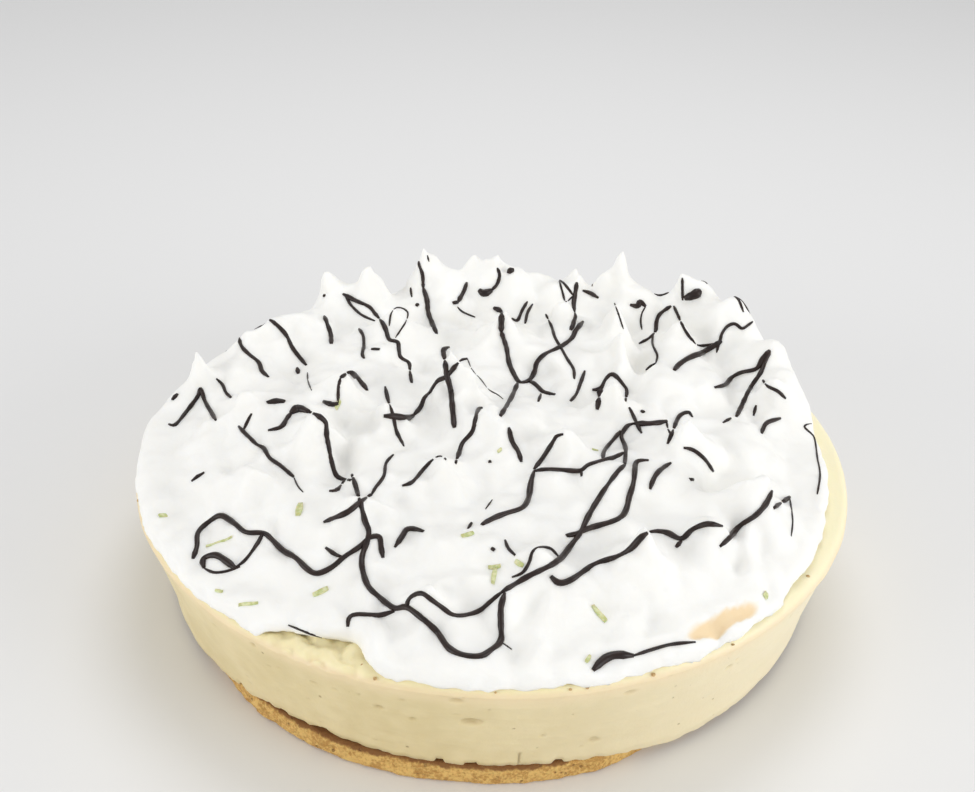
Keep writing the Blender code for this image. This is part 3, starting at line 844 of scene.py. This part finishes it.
def thin_cover(places):
    """1 inside the slim oval where the meringue is thin, falling to 0 just outside it."""
    east = places[:, 0] - THIN_MIDDLE[0] * CM
    north = places[:, 1] - THIN_MIDDLE[1] * CM
    along = east * math.cos(THIN_TURN) + north * math.sin(THIN_TURN)
    across = north * math.cos(THIN_TURN) - east * math.sin(THIN_TURN)
    away = np.hypot(along / THIN_HALF_LENGTH, across / THIN_HALF_WIDTH)
    return smoothstep((1.1 - away) / 0.25)


def mark_thin_cover(piece):
    """An attribute that is 1 where the cream shows through the thinnest meringue."""
    mark = piece.data.attributes.new("thin_cover", "FLOAT", "POINT")
    mark.data.foreach_set("value", thin_cover(corners(piece)))


def press_thin_cover(piece):
    places = corners(piece)
    places[:, 2] -= 1.6 * MM * thin_cover(places)
    set_corners(piece, places)


def make_meringue():
    piece = spread_meringue()
    remesh(piece, 2 * MM)
    pull_peaks(piece)
    remesh(piece, 1.15 * MM)
    whip(piece)
    press_thin_cover(piece)
    take_up(piece)
    soften = piece.modifiers.new("soften", "SMOOTH")
    soften.factor = 0.5
    soften.iterations = 4
    bpy.ops.object.modifier_apply(modifier="soften")
    close_underside(piece)
    droop_edge(piece)
    mark_thin_cover(piece)
    take_up(piece)
    bpy.ops.object.shade_smooth()
    piece.data.materials.append(meringue_finish())
    return piece


def surface_of(piece):
    piece.data.calc_loop_triangles()
    places = [corner.co for corner in piece.data.vertices]
    return BVHTree.FromPolygons(places, [tuple(face.vertices) for face in piece.data.loop_triangles])


def smooth_route(points, step):
    """Points a step apart along a rounded line through the given ones, all in metres."""
    ends = [2 * points[0] - points[1], *points, 2 * points[-1] - points[-2]]
    route = []
    for before, start, end, after in zip(ends, ends[1:], ends[2:], ends[3:]):
        count = max(1, round((end - start).length / step))
        for number in range(count):
            t = number / count
            bend = (
                2 * start
                + (end - before) * t
                + (2 * before - 5 * start + 4 * end - after) * t * t
                + (3 * start - before - 3 * end + after) * t**3
            )
            route.append(bend / 2)
    return [*route, points[-1]]


def dropped_on(surface, place, seen):
    """Where a place on the drizzle's level comes to lie: along the line from the front, or straight down."""
    if seen:
        ray = (place - FRONT_EYE).normalized()
        return surface.ray_cast(FRONT_EYE, ray)[0]
    return surface.ray_cast(Vector((place.x, place.y, 0.2)), Vector((0, 0, -1)))[0]


def strand_runs(surface, points, seen):
    """The strand on the meringue, broken wherever it falls from a peak on to what lies behind."""
    level = [Vector((x * MM, y * MM, DRIZZLE_LEVEL)) for x, y in points]
    runs = [[]]
    for place in smooth_route(level, 0.9 * MM):
        landed = dropped_on(surface, place, seen)
        if landed is None:
            runs.append([])
            continue
        if runs[-1] and (landed - runs[-1][-1]).length > 5 * MM:
            runs.append([])
        runs[-1].append(landed)
    return [run for run in runs if len(run) > 1]


def evened(run):
    """The run with its small steps smoothed out."""
    for _ in range(2):
        inner = [(a + 2 * b + c) / 4 for a, b, c in zip(run, run[1:], run[2:])]
        run = [run[0], *inner, run[-1]]
    return run


def back_strands(chance):
    """Short zigzags down the far slope, each a thickness in mm and its points in mm."""
    strands = []
    for number in range(BACK_STRANDS):
        degrees = 28 + 135 * (number + chance.uniform(0.1, 0.9)) / BACK_STRANDS
        out = chance.uniform(97, 101) + 0.3 * max(0, 60 - degrees, degrees - 130)
        points = []
        for _ in range(chance.randint(3, 5)):
            turn = math.radians(degrees)
            points.append((out * math.cos(turn), out * math.sin(turn)))
            out += chance.uniform(1, 3)
            degrees += chance.uniform(-5, 5)
        strands.append((chance.uniform(1.2, 1.8), *points))
    return strands


def add_strand(curve, run, thick, chance):
    """A tapering bead of chocolate that lies half sunk along the run."""
    line = curve.splines.new("POLY")
    line.points.add(len(run) - 1)
    phase = chance.uniform(0, 40)
    for number, place in enumerate(run):
        from_end = min(number, len(run) - 1 - number)
        taper = min(1.0, 0.55 + 0.15 * from_end)
        swell = 1 + 0.28 * noise.noise(Vector((number * 0.22, phase, 0)))
        line.points[number].co = (*place, 1)
        line.points[number].radius = thick * MM / 2 * taper * swell


def make_drizzle(meringue):
    surface = surface_of(meringue)
    chance = random.Random(7)
    curve = bpy.data.curves.new("chocolate_drizzle", "CURVE")
    curve.dimensions = "3D"
    curve.bevel_depth = 1
    curve.bevel_resolution = 2
    curve.use_fill_caps = True
    for seen, strands in ((True, STRANDS), (False, back_strands(chance))):
        for thick, *points in strands:
            for run in strand_runs(surface, points, seen):
                add_strand(curve, evened(run), thick, chance)
    drawn = bpy.data.objects.new("chocolate_drizzle", curve)
    bpy.context.scene.collection.objects.link(drawn)
    take_up(drawn)
    bpy.ops.object.convert(target="MESH")
    piece = bpy.context.active_object
    bpy.ops.object.mode_set(mode="EDIT")
    bpy.ops.mesh.select_all(action="SELECT")
    bpy.ops.mesh.remove_doubles(threshold=0.01 * MM)
    bpy.ops.mesh.normals_make_consistent(inside=False)
    bpy.ops.object.mode_set(mode="OBJECT")
    bpy.ops.object.shade_smooth()
    piece.data.materials.append(chocolate_finish())
    return piece


def make_zest(meringue):
    """Short curled slivers of peel, each a bent and pinched box, joined into one piece."""
    surface = surface_of(meringue)
    chance = random.Random(3)
    slivers = []
    for x, y, length, width, turn in ZEST:
        place = Vector((x * MM, y * MM, DRIZZLE_LEVEL))
        landed = dropped_on(surface, place, True)
        if landed is None:
            continue
        deselect()
        bpy.ops.mesh.primitive_cube_add(size=1)
        sliver = new_piece("zest")
        take_up(sliver)
        bpy.ops.object.mode_set(mode="EDIT")
        bpy.ops.mesh.subdivide(number_cuts=3)
        bpy.ops.object.mode_set(mode="OBJECT")
        places = corners(sliver)
        narrow = 1 - 1.4 * places[:, 0] ** 2
        places[:, 1] *= narrow
        places[:, 2] += 1.5 * places[:, 0] ** 2 * chance.uniform(0.2, 1)
        places[:, 1] += chance.uniform(-0.5, 0.5) * places[:, 0] ** 2
        places *= (length * MM, width * MM, 0.6 * MM)
        angle = math.radians(turn)
        east = places[:, 0] * math.cos(angle) - places[:, 1] * math.sin(angle)
        north = places[:, 0] * math.sin(angle) + places[:, 1] * math.cos(angle)
        places[:, 0] = east + landed.x
        places[:, 1] = north + landed.y
        for corner in places:
            under = surface.ray_cast(Vector((corner[0], corner[1], 0.2)), Vector((0, 0, -1)))[0]
            corner[2] += (under.z if under else landed.z) + 0.1 * MM
        set_corners(sliver, places)
        slivers.append(sliver)
    deselect()
    for sliver in slivers:
        sliver.select_set(True)
    bpy.context.view_layer.objects.active = slivers[0]
    bpy.ops.object.join()
    piece = bpy.context.active_object
    piece.name = "lime_zest"
    bpy.ops.object.shade_smooth()
    piece.data.materials.append(zest_finish())
    return piece


def push_out(places, amount):
    """Moves each place away from the axis by its amount."""
    radius = np.hypot(places[:, 0], places[:, 1])
    share = 1 + amount / np.maximum(radius, MM)
    places[:, :2] *= share[:, None]


def rounding(radius, height, size, start, count):
    """Points of a quarter circle of this size about (radius, height), from the angle start in degrees."""
    turns = [math.radians(start + 90 * number / count) for number in range(count + 1)]
    return [(radius + size * math.cos(turn), height + size * math.sin(turn)) for turn in turns]


def air_holes(places, holes):
    """How far the air holes in a round side reach in at each place.

    A hole is its angle in radians, height, half height, half width and depth.
    """
    radius, angle = polar(places)
    reach = np.zeros(len(places))
    for middle, height, tall, wide, deep in holes:
        near = np.flatnonzero(np.abs(places[:, 2] - height) < 1.4 * tall)
        across = (angle[near] - middle + math.pi) % (2 * math.pi) - math.pi
        away = np.hypot(across * RIM_RADIUS / wide, (places[near, 2] - height) / tall)
        reach[near] = np.maximum(reach[near], deep * smoothstep(1.35 - away))
    return reach


def scattered_holes(chance, count, low, high, smallest, largest):
    """Air holes of random place and size, most of them small and lying along the side."""
    holes = []
    for _ in range(count):
        tall = smallest + (largest - smallest) * chance.random() ** 3
        wide = tall * chance.uniform(1.0, 2.6)
        middle = chance.uniform(-math.pi, math.pi)
        holes.append((middle, chance.uniform(low, high), tall, wide, tall * chance.uniform(0.5, 0.9)))
    return holes


def filling_profile():
    slope = (RIM_RADIUS - FOOT_RADIUS) / (FILLING_TOP - FILLING_FOOT)
    profile = [(FOOT_RADIUS - 7 * MM, FILLING_FOOT), (FOOT_RADIUS - 3 * MM, FILLING_FOOT + 0.02 * MM)]
    profile += rounding(FOOT_RADIUS - FOOT_ROUND, FILLING_FOOT + FOOT_ROUND, FOOT_ROUND, -90, 4)
    low = FILLING_FOOT + FOOT_ROUND
    high = FILLING_TOP - RIM_ROUND
    for number in range(1, WALL_ROWS):
        height = low + (high - low) * number / WALL_ROWS
        profile.append((FOOT_RADIUS + slope * (height - FILLING_FOOT), height))
    profile += rounding(RIM_RADIUS - RIM_ROUND, high, RIM_ROUND, 0, 7)
    profile += [(RIM_RADIUS - inwards * MM, FILLING_TOP) for inwards in range(4, 16)]
    return profile


def on_rim(angle):
    """Places on the rim, where noise reads the unevenness that changes only around the pie."""
    return np.column_stack((np.cos(angle), np.sin(angle), np.zeros(len(angle)))) * RIM_RADIUS


def tear_foot(places, height, angle, side):
    """The filling's lower edge hangs unevenly over the biscuit, with chips torn out of it."""
    rim = on_rim(angle)
    chips = smoothstep((lumps(rim, 6 * MM, 6.0) - 0.2) / 0.15)
    shown = smoothstep((4 - around(HANG, angle)) / 2)
    ragged = 0.9 * lumps(rim, 9 * MM, 3.0) + 1.0 * lumps(rim, 3 * MM, 4.0) - 1.6 * chips
    ragged *= 0.2 + 0.8 * shown
    near_foot = smoothstep(1 - (height - FILLING_FOOT) / (6 * MM)) * side
    places[:, 2] -= np.clip(around(HANG, angle) + ragged, 0, 6) * MM * near_foot


def heap_ledge(places, height, radius, angle):
    """Chunks of cream on the bare stretch of rim at the left of the front."""
    ledge = smoothstep((radius - RIM_RADIUS + 15 * MM) / (3 * MM))
    ledge *= smoothstep((height - FILLING_TOP + 4 * MM) / (3 * MM))
    notch = smoothstep(1.4 - np.abs(np.degrees(angle) + 114) / 9)
    chunks = pillows(places, 6 * MM, 7.0) * 1.5 + pillows(places, 2.6 * MM, 2.0) * 0.35 - 0.3
    places[:, 2] += chunks * MM * ledge * notch


def make_filling():
    piece = turned("lemon_cream", 1080, filling_profile())
    chance = random.Random(11)
    places = corners(piece)
    radius, angle = polar(places)
    height = places[:, 2].copy()
    holes = scattered_holes(chance, WALL_HOLES, 0.012, 0.041, 0.45 * MM, 1.0 * MM)
    holes += scattered_holes(chance, BAND_HOLES, 0.030, 0.036, 0.45 * MM, 0.8 * MM)
    for degrees, *sizes in FRONT_HOLES:
        holes.append((math.radians(degrees), *(size * MM for size in sizes)))
    side = smoothstep((radius - FOOT_RADIUS + 4 * MM) / (3 * MM))
    relief = lumps(places, 42 * MM) * 0.35 * MM + lumps(places, 7 * MM, 5.0) * 0.15 * MM - 0.4 * MM
    scraped = np.column_stack((places[:, :2], places[:, 2] * 6))
    relief += lumps(scraped, 12 * MM, 9.0) * 0.12 * MM
    reach = air_holes(places, holes)
    push_out(places, (relief - reach) * side)
    tear_foot(places, height, angle, side)
    heap_ledge(places, height, radius, angle)
    set_corners(piece, places)
    # How deep each air hole reaches; the cream's finish darkens its colour by this as painted shade.
    mark = piece.data.attributes.new("hole_depth", "FLOAT", "POINT")
    mark.data.foreach_set("value", np.clip(reach / (0.6 * MM), 0, 1))
    take_up(piece)
    bpy.ops.object.shade_smooth()
    piece.data.materials.append(filling_finish())
    return piece


def biscuit_profile():
    foot_round = 1.6 * MM
    top_round = 1.8 * MM
    top = BISCUIT_HIGH.z - 0.3 * MM
    profile = [(BISCUIT_RADIUS - 8 * MM, 0.0), (BISCUIT_RADIUS - 4 * MM, 0.02 * MM)]
    profile += rounding(BISCUIT_RADIUS - foot_round, foot_round, foot_round, -90, 5)
    flat = top - top_round - foot_round
    profile += [(BISCUIT_RADIUS, foot_round + flat * number / 8) for number in range(1, 8)]
    profile += rounding(BISCUIT_RADIUS - top_round, top - top_round, top_round, 0, 6)
    profile += [(BISCUIT_RADIUS - inwards * MM, top + 0.01 * MM * inwards) for inwards in (3, 5, 7)]
    return profile


def crumb_place(turn):
    """A place on the filling's round rim, just outside the meringue's edge, at an angle in radians."""
    edge = float(edge_radius(np.array([turn]))[0])
    out = min(edge + 0.6 * MM, RIM_RADIUS - 0.9 * MM)
    past = max(0.0, out - RIM_RADIUS + RIM_ROUND)
    height = FILLING_TOP - RIM_ROUND + math.sqrt(RIM_ROUND**2 - past**2)
    return Vector((out * math.cos(turn), out * math.sin(turn), height))


def make_edge_crumbs():
    """Bits of biscuit caught at the meringue's edge: small dented stones, joined into one piece."""
    chance = random.Random(17)
    crumbs = []
    for number in range(CRUMB_COUNT):
        low, high = (-165, -50) if number < FRONT_CRUMBS else (-50, 195)
        place = crumb_place(math.radians((chance.uniform(low, high) + 180) % 360 - 180))
        deselect()
        size = chance.uniform(0.7, 1.2) * MM
        bpy.ops.mesh.primitive_ico_sphere_add(subdivisions=3, radius=size / 2, location=place)
        crumb = new_piece("crumb")
        away = corners(crumb) - np.array(place)
        dents = 1 + 0.5 * lumps(away, 0.9 * MM, number * 3.0)
        stretch = np.array((1.0, 1.0, 0.75))
        set_corners(crumb, np.array(place) + away * dents[:, None] * stretch)
        crumbs.append(crumb)
    deselect()
    for crumb in crumbs:
        crumb.select_set(True)
    bpy.context.view_layer.objects.active = crumbs[0]
    bpy.ops.object.join()
    piece = bpy.context.active_object
    piece.name = "edge_crumbs"
    bpy.ops.object.shade_smooth()
    piece.data.materials.append(loose_crumb_finish())
    return piece


def make_biscuit():
    piece = turned("crumb_base", 900, biscuit_profile())
    chance = random.Random(5)
    places = corners(piece)
    radius, angle = polar(places)
    side = smoothstep((radius - BISCUIT_RADIUS + 6 * MM) / (4 * MM))
    relief = lumps(places, 14 * MM, 1.0) * 0.5 * MM + lumps(places, 3.5 * MM) * 0.35 * MM
    relief += lumps(places, 1.6 * MM, 2.0) * 0.18 * MM - 0.6 * MM
    holes = scattered_holes(chance, 700, 0.001, 0.007, 0.3 * MM, 1.0 * MM)
    inset = around(INSET, angle) * MM
    push_out(places, (relief - air_holes(places, holes) - inset) * side)
    places[:, :2] += (BISCUIT_MIDDLE.x, BISCUIT_MIDDLE.y)
    set_corners(piece, places)
    take_up(piece)
    bpy.ops.object.shade_smooth()
    piece.data.materials.append(biscuit_finish())
    return piece


def add_light(name, place, aim, size, power, colour=(1, 1, 1)):
    lamp = bpy.data.lights.new(name, "AREA")
    lamp.shape = "DISK"
    lamp.size = size
    lamp.energy = power
    lamp.color = colour
    stand = bpy.data.objects.new(name, lamp)
    stand.location = place
    stand.rotation_euler = (Vector(aim) - Vector(place)).to_track_quat("-Z", "Y").to_euler()
    bpy.context.scene.collection.objects.link(stand)


def light_studio():
    world = bpy.data.worlds.new("studio")
    world.use_nodes = True
    world.node_tree.nodes["Background"].inputs["Color"].default_value = (1, 1, 1, 1)
    world.node_tree.nodes["Background"].inputs["Strength"].default_value = 0.585
    bpy.context.scene.world = world
    add_light("overhead", (0.05, 0.32, 0.85), (0.0, 0.1, 0.0), 0.5, 2.2)
    add_light("left_softbox", (-1.1, -0.7, 0.35), (0, 0, 0.03), 0.9, 7)
    add_light("right_softbox", (1.15, -0.6, 0.40), (0, 0, 0.03), 0.9, 8)


def add_camera():
    """Looks down on the pie from the front, as a 50 mm lens would from half a metre."""
    lens = bpy.data.cameras.new("front_camera")
    lens.lens = 50
    lens.sensor_width = 36
    stand = bpy.data.objects.new("front_camera", lens)
    stand.location = FRONT_EYE
    aim = Vector((-2.4 * MM, 72 * MM, 20 * MM))
    stand.rotation_euler = (aim - FRONT_EYE).to_track_quat("-Z", "Y").to_euler()
    stand.rotation_euler.rotate_axis("Z", CAMERA_ROLL)
    bpy.context.scene.collection.objects.link(stand)
    bpy.context.scene.camera = stand


def add_floor():
    deselect()
    bpy.ops.mesh.primitive_plane_add(size=12)
    floor = new_piece("floor")
    floor.data.materials.append(floor_finish())


def settle(piece, node):
    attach(piece, "root")
    if node:
        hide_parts(node)


add_camera()
light_studio()
add_floor()

meringue = make_meringue()
drizzle = make_drizzle(meringue)
zest = make_zest(meringue)
filling = make_filling()
biscuit = make_biscuit()
crumbs = make_edge_crumbs()

settle(meringue, "meringue")
settle(filling, "lemon_filling")
settle(biscuit, "biscuit_base")
settle(drizzle, None)
settle(zest, None)
settle(crumbs, None)

bpy.context.scene.view_settings.view_transform = "Standard"
